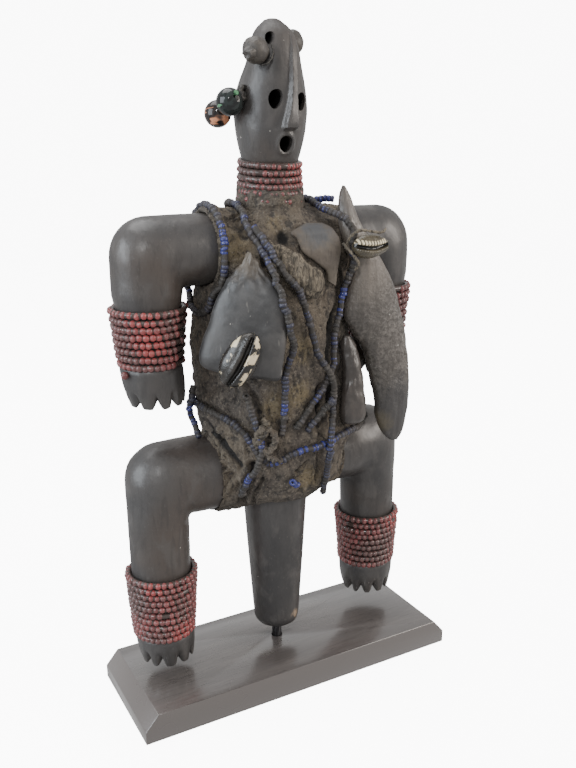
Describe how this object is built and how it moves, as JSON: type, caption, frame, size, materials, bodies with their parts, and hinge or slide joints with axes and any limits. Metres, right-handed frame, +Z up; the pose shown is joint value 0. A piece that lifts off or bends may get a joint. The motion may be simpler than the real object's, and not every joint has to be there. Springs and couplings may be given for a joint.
{
  "type": "carved power figure on a plinth",
  "caption": "Dark carved wooden power figure with bead cuffs, crusted wrap, bead strands, pods and cowries, raised on a peg and steel rod over a bevelled plinth",
  "frame": {"origin": "middle of the plinth's underside", "axes": "+Z up, the figure faces -Y, its right side lies at -X"},
  "size_m": [0.165, 0.0747, 0.3053],
  "materials": {
    "oiled_dark_wood": "hand-carved hardwood, oiled and smoked to a dark satin skin with faint upright grain",
    "stained_plinth_wood": "planed board, dark stain, waxed to a satin sheen",
    "dark_steel": "round bar, blackened",
    "red_bead_glass": "small opaque red glass beads in close rows, dusty",
    "blue_bead_glass": "small cobalt glass beads on cord, mostly coated with dark crust",
    "crusted_cloth": "cloth stiff with earth-brown crust",
    "dark_hide": "smooth dark hide, worn satin",
    "pod_skin": "dry seed pod or horn, dark, scratched and partly glossy",
    "worn_shell": "cowrie shell, stained dark with ivory edges showing",
    "green_marbled_glass": "opaque glass, black and green marbled, glossy",
    "orange_marbled_glass": "opaque glass, black with orange patches, glossy"
  },
  "bodies": {
    "root": {"plinth": "stained_plinth_wood", "support_rod": "dark_steel", "carved_figure": "oiled_dark_wood", "right_brow_ball": "oiled_dark_wood", "left_brow_ball": "oiled_dark_wood", "green_ear_bead": "green_marbled_glass", "orange_ear_bead": "orange_marbled_glass", "right_arm_bead_cuff": "red_bead_glass", "right_leg_bead_cuff": "red_bead_glass", "left_arm_bead_cuff": "red_bead_glass", "left_leg_bead_cuff": "red_bead_glass", "neck_bead_collar": "red_bead_glass", "body_wrap": "crusted_cloth", "waist_bead_strand": "blue_bead_glass", "right_belly_bead_strand": "blue_bead_glass", "right_side_bead_strand": "blue_bead_glass", "loose_bead_end": "blue_bead_glass", "right_shoulder_bead_strand": "blue_bead_glass", "crusted_packet": "crusted_cloth", "hide_tab": "dark_hide", "inner_pod": "pod_skin", "shoulder_pod": "pod_skin", "chest_pouch": "dark_hide", "neck_bead_strand": "blue_bead_glass", "chest_bead_strand": "blue_bead_glass", "belly_bead_strand": "blue_bead_glass", "left_shoulder_bead_strand": "blue_bead_glass", "pouch_cowrie": "worn_shell", "shoulder_cowrie": "worn_shell"}
  },
  "joints": []
}
